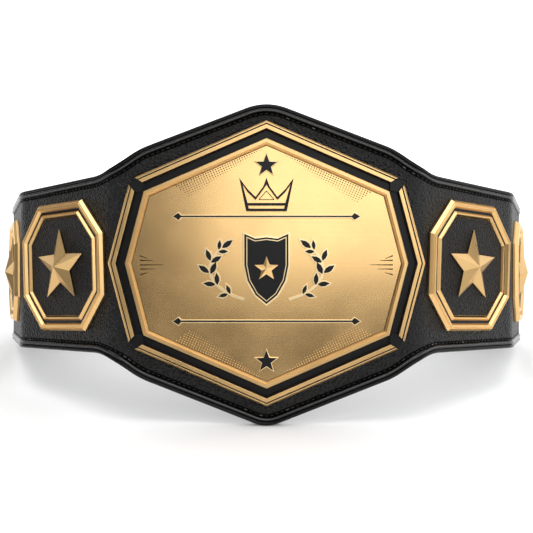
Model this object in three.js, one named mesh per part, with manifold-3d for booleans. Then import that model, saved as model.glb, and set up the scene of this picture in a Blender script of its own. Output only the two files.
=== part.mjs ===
// A championship title belt, standing on its lower tip and on the lower edge of its closed back.
// Millimetres, +Z up, the main plate faces -Y. Most pieces are made in the belt's own frame, where the
// main plate is upright, and the whole belt then leans back until it rests on the floor.

import * as THREE from 'three';
import { mergeVertices } from 'three/addons/utils/BufferGeometryUtils.js';
import Module from 'manifold-3d';

const wasm = await Module();
wasm.setup();

// Fit between pieces
const GAP = 0.3;

// Main plate, an octagon pointed left, right, up and down
const PLATE_HALF_WIDTH = 120;
const PLATE_HALF_HEIGHT = 108.3;
const PLATE_CORNER_X = 103.4;
const PLATE_CORNER_Z = 63.4;
const BASE_INSET = 0.6;
const BASE_THICK = 2.4;
const CHEVRON_WIDTH = 6.6;
const CHEVRON_HEIGHT = 3.9;
const CHEVRON_END_OUTER = 3.9;
const CHEVRON_END_INNER = 5.3;
const CORNER_BLOCK_HEIGHT = 2.9;
const CHANNEL_WIDTH = 5.8;
const RIM_WIDTH = 4.7;
const RIM_HEIGHT = 4.9;
const FACE_THICK = 1.7;

// Cast relief on the face
const RELIEF_HEIGHT = 1.6;
const STAR_RADIUS = 9.9;
const STAR_MARGIN = 34.3;
const STAR_WAIST = 0.42;
const STAR_RIM = 0.5;
const CROWN_HALF_WIDTH = 20.6;
const CROWN_BASE_HALF_WIDTH = 15.4;
const CROWN_DROP = 9.3;
const CROWN_HEIGHT = 25.4;
const CROWN_STROKE = 2.1;
const CROWN_BAND_HEIGHT = 5.3;
const BAR_HALF_LENGTH = 71.7;
const BAR_WIDTH = 2.4;
const TOP_BAR_DROP = 3.9;
const BOTTOM_BAR_RISE = 30.3;
const BAR_HEAD_LENGTH = 7.5;
const BAR_HEAD_WIDTH = 7;
const BAR_SHOULDER = 2.1;
const DEVICE_HEIGHT = 2.6;
const SHIELD_HALF_WIDTH = 18;
const SHIELD_MARGIN = 11.5;
const INLAY_RIM = 1.3;
const INLAY_STEP = 0.5;
const LAUREL_HALF_WIDTH = 43;
const LAUREL_INSET = 3;
const LEAF_LENGTH = 12.4;
const LEAF_WIDTH = 6;
const LEAF_RIM = 0.9;
const LEAF_PAIRS = 5;
const STEM_WIDTH = 2;

// Leather, measured along the band from the middle of the front, and up from the plate's centre
const LEATHER_THICK = 4;
const CHEVRON_STAND = 2.9;
const BEAD_HEIGHT = 1.5;
const BEAD_WIDTH = 6.6;
const EDGE_CHAMFER = 0.8;
const APEX_MARGIN = 16.3;
const TIP_MARGIN = 17.3;
const SHOULDER_INSET = 3.9;
const SHOULDER_MARGIN = 23.1;
const NECK_OUTSET = 1.4;
const NECK_HALF_HEIGHT = 69.2;
const BACK_TOP_Z = 48;
const BACK_BOTTOM_Z = -76;
const APEX_ROUND = 16;
const TIP_ROUND = 10;
const SHOULDER_ROUND = 9;
const NECK_ROUND = 18;

// The way round the waist, seen from above
const TIP_OVERHANG = 11;
const NECK_BEND_LENGTH = 15;
const NECK_BEND_TURN = 39;
const SIDE_BEND_LENGTH = 13;
const SIDE_BEND_TURN = 30;
const BACK_BEND_LENGTH = 70;
const LAP_LENGTH = 90;
const LAP_DROP = 1.3;
const END_ROUND = 12;

// Side plates
const SEAT_MARGIN = 1.25;
const INNER_WIDTH = 103.5;
const INNER_HEIGHT = 103.5;
const INNER_CUT_X = 24;
const INNER_CUT_Z = 28;
const INNER_STAR_RADIUS = 30;
const OUTER_WIDTH = 87.5;
const OUTER_HEIGHT = 89.5;
const OUTER_CUT_X = 20;
const OUTER_CUT_Z = 21.5;
const OUTER_STAR_RADIUS = 25.5;
const FRAME_WIDTH = 6.2;
const FRAME_HEIGHT = 4.8;
const GROOVE_WIDTH = 2.4;
const GROOVE_LEVEL = 2.4;
const RING_WIDTH = 3.6;
const RING_HEIGHT = 4.2;
const PLATE_FLOOR = 1.5;
const FIELD_THICK = 0.9;
const SIDE_STAR_FOOT = 1;
const SIDE_STAR_PEAK = 7.5;

// Fasteners
const SCREW_HEAD_RADIUS = 6;
const SCREW_HEAD_HEIGHT = 1.6;
const SHANK_RADIUS = 2.2;
const MAIN_SCREW_X = 62;
const MAIN_SCREW_Z = 48;
const SIDE_SCREW_MARGIN = 19;
const SNAP_RADIUS = 7.5;
const SNAP_HEIGHT = 3;
const SNAP_FLANGE = 1.4;
const SNAP_COLUMN_SPACING = 46;
const SNAP_ROW_SPACING = 38;
const FASTENER_SIDES = 10;

// Where the leather meets the floor its bottom edge is pressed flat by this much
const FOOT_TRIM = 0.6;

const CHEVRON_SEAT = GAP + BASE_THICK + GAP;
const FACE_INSET = CHEVRON_WIDTH + CHANNEL_WIDTH;
const RELIEF_SEAT = CHEVRON_SEAT + FACE_THICK + GAP;
const STAR_HEIGHT = PLATE_HALF_HEIGHT - STAR_MARGIN;
const CROWN_FOOT_Z = STAR_HEIGHT - CROWN_DROP - CROWN_HEIGHT;
const BAR_TOP_Z = CROWN_FOOT_Z - TOP_BAR_DROP;
const BAR_BOTTOM_Z = BOTTOM_BAR_RISE - STAR_HEIGHT;
const DEVICE_Z = (BAR_TOP_Z + BAR_BOTTOM_Z) / 2;
const SHIELD_HALF_HEIGHT = (BAR_TOP_Z - BAR_BOTTOM_Z) / 2 - SHIELD_MARGIN;
const LAUREL_HALF_HEIGHT = SHIELD_HALF_HEIGHT - LAUREL_INSET;
const LEATHER_DEPTH = CHEVRON_SEAT + CHEVRON_STAND;
const degrees = THREE.MathUtils.degToRad;
const lerp = THREE.MathUtils.lerp;
const clamp = THREE.MathUtils.clamp;

const leather = new THREE.MeshStandardMaterial({ color: 0x17171a, roughness: 0.55, metalness: 0 });
const gold = new THREE.MeshStandardMaterial({ color: 0xd9b26a, roughness: 0.3, metalness: 1 });
const enamel = new THREE.MeshStandardMaterial({ color: 0x0c0c0e, roughness: 0.3, metalness: 0.2 });
const steel = new THREE.MeshStandardMaterial({ color: 0xb9b9bd, roughness: 0.35, metalness: 1 });

const belt = new THREE.Group();

function named(name, geometry, material) {
  const mesh = new THREE.Mesh(geometry, material);
  mesh.name = name;
  return mesh;
}

// Solids: joining, cutting and closing meshes

function toSolid(geometry) {
  const bare = geometry.clone();
  bare.deleteAttribute('normal');
  bare.deleteAttribute('uv');
  const merged = mergeVertices(bare, 1e-4);
  return new wasm.Manifold(new wasm.Mesh({
    numProp: 3,
    vertProperties: new Float32Array(merged.attributes.position.array),
    triVerts: new Uint32Array(merged.index.array),
  }));
}

function fromSolid(solid) {
  const mesh = solid.getMesh();
  const geometry = new THREE.BufferGeometry();
  geometry.setAttribute('position', new THREE.BufferAttribute(new Float32Array(mesh.vertProperties), 3));
  geometry.setIndex(new THREE.BufferAttribute(new Uint32Array(mesh.triVerts), 1));
  geometry.computeVertexNormals();
  return geometry;
}

function joined(geometries) {
  return fromSolid(geometries.map(toSolid).reduce((sum, solid) => sum.add(solid)));
}

function cut(geometry, tools) {
  return fromSolid(tools.map(toSolid).reduce((rest, tool) => rest.subtract(tool), toSolid(geometry)));
}

function meshOf(points, triangles) {
  const geometry = new THREE.BufferGeometry();
  geometry.setAttribute('position', new THREE.Float32BufferAttribute(points.flat(), 3));
  geometry.setIndex(triangles);
  geometry.computeVertexNormals();
  return geometry;
}

// A closed solid through a row of sections with the same number of points, counter-clockwise when
// the row is looked at from its end towards its start.
function loft(sections) {
  const count = sections[0].length;
  const triangles = [];
  for (let row = 0; row + 1 < sections.length; row++) {
    for (let i = 0; i < count; i++) {
      const next = (i + 1) % count;
      const a = row * count + i;
      const b = row * count + next;
      triangles.push(a, b, b + count, a, b + count, a + count);
    }
  }
  const last = (sections.length - 1) * count;
  for (const [start, section] of [[0, sections[0]], [last, sections.at(-1)]]) {
    const corners = section.map(([x, y, z]) => new THREE.Vector3(x, y, z));
    const normal = new THREE.Vector3();
    corners.forEach((corner, i) => normal.add(corner.clone().cross(corners[(i + 1) % count])));
    const across = corners[1].clone().sub(corners[0]).normalize();
    const up = normal.normalize().cross(across);
    const outline = corners.map((corner) => new THREE.Vector2(corner.dot(across), corner.dot(up)));
    for (const [a, b, c] of THREE.ShapeUtils.triangulateShape(outline, [])) {
      const outward = start === 0 ? [c, b, a] : [a, b, c];
      triangles.push(...outward.map((corner) => start + corner));
    }
  }
  return meshOf(sections.flat(), triangles);
}

function prism(outline, bottom, top, holes = []) {
  const shape = new THREE.Shape(outline.map(([x, y]) => new THREE.Vector2(x, y)));
  shape.holes = holes.map((hole) => new THREE.Path(hole.map(([x, y]) => new THREE.Vector2(x, y))));
  const geometry = new THREE.ExtrudeGeometry(shape, { depth: top - bottom, bevelEnabled: false });
  return geometry.translate(0, 0, bottom);
}

function turned(profile, sides = FASTENER_SIDES) {
  const points = profile.map(([radius, height]) => new THREE.Vector2(radius, height));
  return new THREE.LatheGeometry(points, sides).rotateX(Math.PI / 2);
}

// Outlines: counter-clockwise lists of points

// Moves every side of a convex outline inwards by a distance.
function inset(outline, distance) {
  const count = outline.length;
  return outline.map((corner, i) => {
    const before = outline[(i + count - 1) % count];
    const after = outline[(i + 1) % count];
    const into = new THREE.Vector2(corner[0] - before[0], corner[1] - before[1]).normalize();
    const away = new THREE.Vector2(after[0] - corner[0], after[1] - corner[1]).normalize();
    const reach = distance / (1 + into.dot(away));
    return [corner[0] - (into.y + away.y) * reach, corner[1] + (into.x + away.x) * reach];
  });
}

function towards(from, to, distance) {
  const share = distance / Math.hypot(to[0] - from[0], to[1] - from[1]);
  return [lerp(from[0], to[0], share), lerp(from[1], to[1], share)];
}

function starOutline(radius, waist) {
  return Array.from({ length: 10 }, (_, i) => {
    const angle = Math.PI / 2 + (i * Math.PI) / 5;
    const reach = i % 2 ? radius * waist : radius;
    return [reach * Math.cos(angle), reach * Math.sin(angle)];
  });
}

// A flat-backed solid whose front follows rows of [inset, height] from the foot of its wall.
function steppedPlate(outline, foot, rows) {
  const sections = [[0, 0], ...rows].map(([distance, height]) =>
    inset(outline, distance).map(([x, y]) => [x, y, foot + height]));
  return loft(sections);
}

// Main plate, with its own x to the right, y up and z out of the leather

const plateOutline = [
  [PLATE_HALF_WIDTH, 0],
  [PLATE_CORNER_X, PLATE_CORNER_Z],
  [0, PLATE_HALF_HEIGHT],
  [-PLATE_CORNER_X, PLATE_CORNER_Z],
  [-PLATE_HALF_WIDTH, 0],
  [-PLATE_CORNER_X, -PLATE_CORNER_Z],
  [0, -PLATE_HALF_HEIGHT],
  [PLATE_CORNER_X, -PLATE_CORNER_Z],
];

// Rows of share of the bar's width from its outer edge, and share of its height
const CHEVRON_SECTION = [
  [0, 0],
  [0, 0.5],
  [0.18, 0.94],
  [0.3, 0.94],
  [0.35, 0.82],
  [0.41, 0.82],
  [0.46, 1],
  [0.86, 1],
  [1, 0.62],
  [1, 0],
];

function chevron(apex) {
  const corners = [apex - 1, apex, apex + 1].map((i) => (i + 8) % 8);
  const bySection = CHEVRON_SECTION.map(([across, height]) => {
    const ring = inset(plateOutline, across * CHEVRON_WIDTH);
    const [start, middle, end] = corners.map((i) => ring[i]);
    const short = lerp(CHEVRON_END_OUTER, CHEVRON_END_INNER, across);
    const z = CHEVRON_SEAT + height * CHEVRON_HEIGHT;
    return [towards(start, middle, short), middle, towards(end, middle, short)].map(([x, y]) => [x, y, z]);
  });
  return loft([0, 1, 2].map((station) => bySection.map((row) => row[station])).reverse());
}

function cornerBlock(corner) {
  const before = (corner + 7) % 8;
  const after = (corner + 1) % 8;
  const outer = inset(plateOutline, BASE_INSET);
  const inner = inset(plateOutline, CHEVRON_WIDTH);
  const outerReach = CHEVRON_END_OUTER - GAP;
  const innerReach = CHEVRON_END_INNER - GAP;
  const top = GAP + BASE_THICK + CORNER_BLOCK_HEIGHT;
  return prism([
    towards(outer[corner], outer[before], outerReach),
    towards(outer[corner], outer[after], outerReach),
    towards(inner[corner], inner[after], innerReach),
    inset(plateOutline, FACE_INSET - GAP)[corner],
    towards(inner[corner], inner[before], innerReach),
  ], GAP + BASE_THICK / 2, top);
}

function baseOutline() {
  const ring = inset(plateOutline, BASE_INSET);
  return ring.flatMap((corner, i) => {
    if (i % 2 === 0) return [corner];
    const reach = CHEVRON_END_OUTER - GAP;
    return [towards(corner, ring[i - 1], reach), towards(corner, ring[(i + 1) % 8], reach)];
  });
}

function mainBase() {
  return joined([prism(baseOutline(), GAP, GAP + BASE_THICK), ...[1, 3, 5, 7].map(cornerBlock)]);
}

// Rows of share of the rim's width, and share of the rise from the face to the rim's top
const RIM_SECTION = [
  [0, 0.6],
  [0.14, 1],
  [0.7, 1],
  [0.8, 0.5],
  [0.88, 0.5],
  [1, 0],
];

function facePlate() {
  const rise = RIM_HEIGHT - FACE_THICK;
  const rows = RIM_SECTION.map(([across, up]) => [across * RIM_WIDTH, FACE_THICK + up * rise]);
  return steppedPlate(inset(plateOutline, FACE_INSET), CHEVRON_SEAT, rows);
}

// Relief: each piece is a casting whose black inlay stands on a wider gold foot

function inlaid(foot, top, rise) {
  return joined([
    prism(foot, RELIEF_SEAT, RELIEF_SEAT + rise),
    prism(top, RELIEF_SEAT, RELIEF_SEAT + rise + INLAY_STEP),
  ]);
}

function faceStar() {
  return inlaid(
    starOutline(STAR_RADIUS, STAR_WAIST),
    starOutline(STAR_RADIUS - 2 * STAR_RIM, STAR_WAIST),
    RELIEF_HEIGHT - INLAY_STEP,
  );
}

// The crown's left half: rows of share of half its width, share of its height, and how far the opening's
// corner lies from this one, down and inwards, in stroke widths
const CROWN_SPIKES = [
  [0, 1, 2.6, 0],
  [-0.12, 0.74, 1.15, 0],
  [-0.4, 0.43, 1.15, 0],
  [-0.7, 0.67, 1.15, 0],
  [-1, 1, 2.6, 1.25],
];

function crownOutline(stroke) {
  const foot = CROWN_FOOT_Z + stroke;
  const half = CROWN_BASE_HALF_WIDTH - stroke;
  const left = CROWN_SPIKES.map(([across, up, down, inwards]) =>
    [across * CROWN_HALF_WIDTH + inwards * stroke, CROWN_FOOT_Z + up * CROWN_HEIGHT - down * stroke]);
  const right = left.slice(1).map(([x, z]) => [-x, z]).reverse();
  return [...left, [-half, foot], [half, foot], ...right];
}

// The crown is open inside its strokes, above and below the line of its band
function crown() {
  const flare = (CROWN_HALF_WIDTH - CROWN_BASE_HALF_WIDTH) / CROWN_HEIGHT;
  const half = CROWN_BASE_HALF_WIDTH - CROWN_STROKE;
  const bandTop = CROWN_FOOT_Z + CROWN_BAND_HEIGHT + CROWN_STROKE / 2;
  const bandFoot = bandTop - CROWN_STROKE;
  const foot = CROWN_FOOT_Z + CROWN_STROKE;
  const wide = half + flare * (bandFoot - foot);
  const upper = crownOutline(CROWN_STROKE).map(([x, z]) =>
    (z < bandTop ? [x + Math.sign(x) * flare * (bandTop - z), bandTop] : [x, z]));
  const lower = [[-half, foot], [half, foot], [wide, bandFoot], [-wide, bandFoot]];
  return prism(crownOutline(0), RELIEF_SEAT, RELIEF_SEAT + RELIEF_HEIGHT, [upper, lower]);
}

function bar(z) {
  const half = BAR_WIDTH / 2;
  const neck = BAR_HALF_LENGTH - BAR_HEAD_LENGTH;
  const wide = BAR_HEAD_WIDTH / 2;
  const shoulder = neck + BAR_SHOULDER;
  const right = [[neck, -half], [shoulder, -wide], [BAR_HALF_LENGTH, 0], [shoulder, wide], [neck, half]];
  const left = right.map(([x, y]) => [-x, -y]);
  return prism([...right, ...left].map(([x, y]) => [x, y + z]), RELIEF_SEAT, RELIEF_SEAT + RELIEF_HEIGHT);
}

// The shield's right half from its top middle: rows of share of half width and half height
const SHIELD_SIDE = [
  [0, 0.9],
  [0.5, 0.86],
  [1, 1],
  [1, 0.1],
  [0.86, -0.34],
  [0.5, -0.74],
  [0, -1],
];

function shieldOutline(shrink) {
  const width = SHIELD_HALF_WIDTH - shrink;
  const height = SHIELD_HALF_HEIGHT - shrink;
  const right = SHIELD_SIDE.map(([x, y]) => [x * width, DEVICE_Z + y * height]);
  const left = right.slice(1, -1).map(([x, y]) => [-x, y]).reverse();
  return [...right, ...left].reverse();
}

function shield() {
  return inlaid(shieldOutline(0), shieldOutline(INLAY_RIM), DEVICE_HEIGHT - INLAY_STEP);
}

// One leaf from its foot to its tip: rows of share of its length and of half its width
const LEAF_SIDE = [
  [0, 0.2],
  [0.3, 0.92],
  [0.6, 0.92],
  [1, 0],
];

function leafOutline(foot, heading, size, shrink) {
  const length = LEAF_LENGTH * size - 3 * shrink;
  const width = LEAF_WIDTH * size - 2 * shrink;
  const side = LEAF_SIDE.map(([along, wide]) => [shrink + along * length, (wide * width) / 2]);
  const other = side.slice(0, -1).map(([along, wide]) => [along, -wide]);
  return [...other, ...side.reverse()].map(([along, wide]) => [
    foot[0] + along * Math.cos(heading) - wide * Math.sin(heading),
    foot[1] + along * Math.sin(heading) + wide * Math.cos(heading),
  ]);
}

// A branch that rises from below the shield out to one side. Side is 1 on the right, -1 on the left.
function laurel(side) {
  const STEM_START = degrees(-58);
  const STEM_END = degrees(38);
  const LEAF_SPLAY = degrees(42);
  const LEAF_MARGIN = degrees(7);
  const PAIR_STEP = degrees(2.3);
  const SMALL_LEAF = 0.8;
  const STEM_STEPS = 8;
  const STEM_TAIL = degrees(9);
  const point = (angle) => [LAUREL_HALF_WIDTH * Math.cos(angle), DEVICE_Z + LAUREL_HALF_HEIGHT * Math.sin(angle)];
  const heading = (angle) => Math.atan2(LAUREL_HALF_HEIGHT * Math.cos(angle), -LAUREL_HALF_WIDTH * Math.sin(angle));
  const flip = (outline) => (side > 0 ? outline : outline.map(([x, y]) => [-x, y]).reverse());
  const low = RELIEF_SEAT + DEVICE_HEIGHT - INLAY_STEP;
  const high = RELIEF_SEAT + DEVICE_HEIGHT;
  const leaves = [{ angle: STEM_END, splay: 0, size: 1 }];
  for (let i = 0; i < LEAF_PAIRS; i++) {
    const share = i / (LEAF_PAIRS - 1);
    const angle = lerp(STEM_START + LEAF_MARGIN, STEM_END - LEAF_MARGIN, share);
    const size = lerp(SMALL_LEAF, 1, Math.sin(share * Math.PI));
    leaves.push({ angle, splay: LEAF_SPLAY, size }, { angle: angle + PAIR_STEP, splay: -LEAF_SPLAY, size });
  }
  const solids = leaves.flatMap(({ angle, splay, size }) => {
    const foot = point(angle);
    const way = heading(angle) + splay;
    return [
      prism(flip(leafOutline(foot, way, size, 0)), RELIEF_SEAT, low),
      prism(flip(leafOutline(foot, way, size, LEAF_RIM)), RELIEF_SEAT, high),
    ];
  });
  const edge = (offset) => Array.from({ length: STEM_STEPS + 1 }, (_, i) => {
    const angle = lerp(STEM_START - STEM_TAIL, STEM_END, i / STEM_STEPS);
    const [x, y] = point(angle);
    return [x + offset * Math.cos(angle), y + offset * Math.sin(angle)];
  });
  const stem = [...edge(-STEM_WIDTH / 2), ...edge(STEM_WIDTH / 2).reverse()].reverse();
  return joined([prism(flip(stem), RELIEF_SEAT, low), ...solids]);
}

const mainPlate = new THREE.Group();
mainPlate.add(
  named('main_base', mainBase(), enamel),
  named('chevron_right', chevron(0), gold),
  named('chevron_top', chevron(2), gold),
  named('chevron_left', chevron(4), gold),
  named('chevron_bottom', chevron(6), gold),
  named('face_plate', facePlate(), gold),
  named('star_top', faceStar().translate(0, STAR_HEIGHT, 0), enamel),
  named('star_bottom', faceStar().translate(0, -STAR_HEIGHT, 0), enamel),
  named('crown', crown(), enamel),
  named('bar_top', bar(BAR_TOP_Z), enamel),
  named('bar_bottom', bar(BAR_BOTTOM_Z), enamel),
  named('shield', shield(), enamel),
  named('laurel_left', laurel(-1), enamel),
  named('laurel_right', laurel(1), enamel),
);
mainPlate.rotation.x = Math.PI / 2;
mainPlate.position.y = LEATHER_DEPTH;
belt.add(mainPlate);

// The band's way round the waist: straight runs and bends of one half, in the order of their arc length

const FLAT_HALF = PLATE_HALF_WIDTH - TIP_OVERHANG;
const INNER_RUN = INNER_WIDTH + 2 * SEAT_MARGIN;
const OUTER_RUN = OUTER_WIDTH + 2 * SEAT_MARGIN;
const BACK_BEND_TURN = 180 - NECK_BEND_TURN - SIDE_BEND_TURN;
const LAP_STEP = LEATHER_THICK + BEAD_HEIGHT + GAP;

// Each run holds its start along the band, its length, where it starts and the turn it makes. The left
// half goes a little further back, so that its end lies outside the right half's end.
function runsOf(side) {
  const lapRun = side < 0 ? LAP_STEP / Math.sin(degrees(NECK_BEND_TURN + SIDE_BEND_TURN)) : 0;
  const plan = [
    [FLAT_HALF, 0],
    [NECK_BEND_LENGTH, NECK_BEND_TURN],
    [INNER_RUN, 0],
    [SIDE_BEND_LENGTH, SIDE_BEND_TURN],
    [OUTER_RUN + lapRun, 0],
    [BACK_BEND_LENGTH, BACK_BEND_TURN],
  ];
  const runs = [];
  let state = { start: 0, x: 0, y: LEATHER_DEPTH, heading: 0 };
  for (const [length, turn] of plan) {
    const run = { ...state, length, turn: degrees(turn) };
    runs.push(run);
    const end = alongRun(run, length, 0);
    state = { start: state.start + length, x: end.x, y: end.y, heading: end.heading };
  }
  runs.push({ ...state, length: state.x + LAP_LENGTH / 2, turn: 0 });
  return runs;
}

// A point of a run, moved outwards from the leather's face
function alongRun(run, distance, outwards) {
  let { x, y } = run;
  const heading = run.heading + (run.turn * distance) / run.length;
  if (run.turn === 0) {
    x += distance * Math.cos(heading);
    y += distance * Math.sin(heading);
  } else {
    const radius = run.length / run.turn;
    x += radius * (Math.sin(heading) - Math.sin(run.heading));
    y += radius * (Math.cos(run.heading) - Math.cos(heading));
  }
  return { x: x + outwards * Math.sin(heading), y: y - outwards * Math.cos(heading), heading };
}

const bandRuns = { '-1': runsOf(-1), 1: runsOf(1) };

function bandPoint(side, distance, outwards) {
  const runs = bandRuns[side];
  const run = runs.findLast(({ start }) => start <= distance) ?? runs[0];
  const point = alongRun(run, distance - run.start, outwards);
  return { x: side * point.x, y: point.y, heading: point.heading };
}

function halfLength(side) {
  const last = bandRuns[side].at(-1);
  return last.start + last.length;
}

// The leather's top and bottom edges, by distance along the band

const SHOULDER_DISTANCE = PLATE_CORNER_X - SHOULDER_INSET;
const SHOULDER_Z = PLATE_CORNER_Z + SHOULDER_MARGIN;
const NECK_DISTANCE = PLATE_HALF_WIDTH + NECK_OUTSET;
const WING_END = halfLength(1) - LAP_LENGTH / 2;

// The height of a chain of straight lines, mirrored at its first corner, where each corner is eased over a
// short stretch before and after it
function easedChain(corners, distance) {
  const slopes = corners.map(({ at, z }, i) => {
    const next = corners[i + 1];
    return next ? (next.z - z) / (next.at - at) : 0;
  });
  let height = corners[0].z - slopes[0] * distance;
  corners.forEach(({ at, ease }, i) => {
    const change = slopes[i] - (i === 0 ? -slopes[0] : slopes[i - 1]);
    const eased = clamp(distance - at + ease, 0, 2 * ease);
    const beyond = Math.max(distance - at - ease, 0);
    height += change * (eased ** 2 / (4 * ease) + beyond);
  });
  return height;
}

function edgeHeights(side, distance) {
  const half = NECK_HALF_HEIGHT;
  const sides = [
    { at: SHOULDER_DISTANCE, z: SHOULDER_Z, ease: SHOULDER_ROUND },
    { at: NECK_DISTANCE, z: half, ease: NECK_ROUND },
  ];
  const topCorners = [{ at: 0, z: PLATE_HALF_HEIGHT + APEX_MARGIN, ease: APEX_ROUND }, ...sides];
  const bottomCorners = [{ at: 0, z: PLATE_HALF_HEIGHT + TIP_MARGIN, ease: TIP_ROUND }, ...sides];
  const lapDrop = side > 0 ? LAP_DROP : 0;
  const share = clamp((distance - NECK_DISTANCE) / (WING_END - NECK_DISTANCE), 0, 1);
  const eased = Math.sin((share * Math.PI) / 2);
  const left = halfLength(side) - distance;
  const corner = left < END_ROUND ? END_ROUND - Math.sqrt(END_ROUND ** 2 - (END_ROUND - left) ** 2) : 0;
  return {
    top: easedChain(topCorners, distance) + (BACK_TOP_Z - lapDrop - half) * eased - corner,
    bottom: -easedChain(bottomCorners, distance) + (BACK_BOTTOM_Z - lapDrop + half) * eased + corner,
  };
}

function middleOf(side, distance) {
  const { top, bottom } = edgeHeights(side, distance);
  return (top + bottom) / 2;
}

// How far an edge or the middle of the leather rises over one millimetre of band
function slopeOf(height, side, distance) {
  const near = Math.min(distance + 0.5, halfLength(side));
  const far = Math.max(distance - 0.5, 0);
  return (height(side, near) - height(side, far)) / (near - far);
}

// Distances along one half at which the leather gets a section
function bandStations(side) {
  const FINE_TURN = degrees(10);
  const STRAIGHT_STEP = 45;
  const stations = [];
  for (const run of bandRuns[side]) {
    const steps = Math.max(1, Math.ceil(run.turn ? run.turn / FINE_TURN : run.length / STRAIGHT_STEP));
    for (let i = 0; i <= steps; i++) stations.push(run.start + (run.length * i) / steps);
  }
  const eases = [[SHOULDER_DISTANCE, SHOULDER_ROUND], [NECK_DISTANCE, NECK_ROUND], [0, APEX_ROUND], [0, TIP_ROUND]];
  for (const [at, ease] of eases) {
    for (const share of [-1, -0.5, 0, 0.5, 1]) stations.push(at + share * ease);
  }
  for (const share of [0, 0.03, 0.14, 0.35, 0.65, 1]) stations.push(halfLength(side) - share * END_ROUND);
  const MERGE = 2.5;
  const end = halfLength(side);
  const sorted = stations.filter((at) => at >= 0 && at <= end).sort((a, b) => a - b);
  const nearEnd = (at) => end - at < 2 * MERGE;
  return sorted.filter((at, i) => i === 0 || at - sorted[i - 1] > (nearEnd(at) ? 0.1 : MERGE));
}

// The rolled edge from the inner face round to the outer face: rows of distance in from the edge, and
// distance out from the leather's face
function edgeRoll() {
  return [
    [EDGE_CHAMFER, -LEATHER_THICK],
    [0, EDGE_CHAMFER - LEATHER_THICK],
    [0, BEAD_HEIGHT * 0.15],
    [BEAD_WIDTH * 0.14, BEAD_HEIGHT * 0.8],
    [BEAD_WIDTH * 0.42, BEAD_HEIGHT],
    [BEAD_WIDTH * 0.78, BEAD_HEIGHT * 0.7],
    [BEAD_WIDTH, 0],
  ];
}

// One section across the leather. The edge is wider along a steep edge line, up to a limit.
function bandSection(side, distance) {
  const MAX_STRETCH = 1.35;
  const { top, bottom } = edgeHeights(side, distance);
  const [topStretch, bottomStretch] = ['top', 'bottom'].map((edge) => {
    const slope = slopeOf((...at) => edgeHeights(...at)[edge], side, distance);
    return Math.min(Math.hypot(1, slope), MAX_STRETCH);
  });
  const rising = edgeRoll().map(([inwards, out]) => [bottom + inwards * bottomStretch, out]);
  const falling = edgeRoll().map(([inwards, out]) => [top - inwards * topStretch, out]).reverse();
  const section = [...rising, ...falling].map(([z, out]) => {
    const { x, y } = bandPoint(side, distance, out);
    return [x, y, z];
  });
  return section.reverse();
}

const leftSections = bandStations(-1).slice(1).map((at) => bandSection(-1, at)).reverse();
const rightSections = bandStations(1).map((at) => bandSection(1, at));
const plainBand = loft([...leftSections, ...rightSections]);

// Places a group on the leather: its z out of the leather and its x along the band, to the right
function seatOnBand(group, side, distance, z, tilt) {
  const { x, y, heading } = bandPoint(side, distance, 0);
  const upright = new THREE.Group();
  upright.position.set(x, y, z);
  upright.rotation.z = side * heading;
  const tipped = new THREE.Group();
  tipped.rotation.x = Math.PI / 2;
  group.rotation.z = tilt;
  tipped.add(group);
  upright.add(tipped);
  belt.add(upright);
}

// Side plates

function sideOutline({ width, height, cutX, cutZ }) {
  const x = width / 2;
  const z = height / 2;
  return [
    [x, cutZ - z], [x, z - cutZ], [x - cutX, z], [cutX - x, z],
    [-x, z - cutZ], [-x, cutZ - z], [cutX - x, -z], [x - cutX, -z],
  ];
}

const sidePlates = {
  inner: {
    width: INNER_WIDTH, height: INNER_HEIGHT, cutX: INNER_CUT_X, cutZ: INNER_CUT_Z, star: INNER_STAR_RADIUS,
    distance: FLAT_HALF + NECK_BEND_LENGTH + INNER_RUN / 2,
  },
  outer: {
    width: OUTER_WIDTH, height: OUTER_HEIGHT, cutX: OUTER_CUT_X, cutZ: OUTER_CUT_Z, star: OUTER_STAR_RADIUS,
    distance: FLAT_HALF + NECK_BEND_LENGTH + INNER_RUN + SIDE_BEND_LENGTH + OUTER_RUN / 2,
  },
};

// Rows of distance in from the plate's edge, and height: frame, groove, ring, then the sunk floor
function sidePlateRows() {
  const ringStart = FRAME_WIDTH + GROOVE_WIDTH;
  return [
    [0, FRAME_HEIGHT * 0.4],
    [FRAME_WIDTH * 0.3, FRAME_HEIGHT * 0.92],
    [FRAME_WIDTH * 0.36, FRAME_HEIGHT * 0.8],
    [FRAME_WIDTH * 0.44, FRAME_HEIGHT * 0.8],
    [FRAME_WIDTH * 0.5, FRAME_HEIGHT],
    [FRAME_WIDTH * 0.78, FRAME_HEIGHT],
    [FRAME_WIDTH, GROOVE_LEVEL],
    [ringStart, GROOVE_LEVEL],
    [ringStart + RING_WIDTH * 0.4, RING_HEIGHT],
    [ringStart + RING_WIDTH * 0.66, RING_HEIGHT],
    [ringStart + RING_WIDTH, PLATE_FLOOR],
  ];
}

function sideStar(radius, foot) {
  const outline = starOutline(radius, STAR_WAIST);
  const points = [0, SIDE_STAR_FOOT].flatMap((height) => outline.map(([x, y]) => [x, y, foot + height]));
  points.push([0, 0, foot], [0, 0, foot + SIDE_STAR_PEAK]);
  const triangles = [];
  for (let i = 0; i < 10; i++) {
    const next = (i + 1) % 10;
    triangles.push(20, next, i, i, next, next + 10, i, next + 10, i + 10, i + 10, next + 10, 21);
  }
  return meshOf(points, triangles);
}

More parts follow.
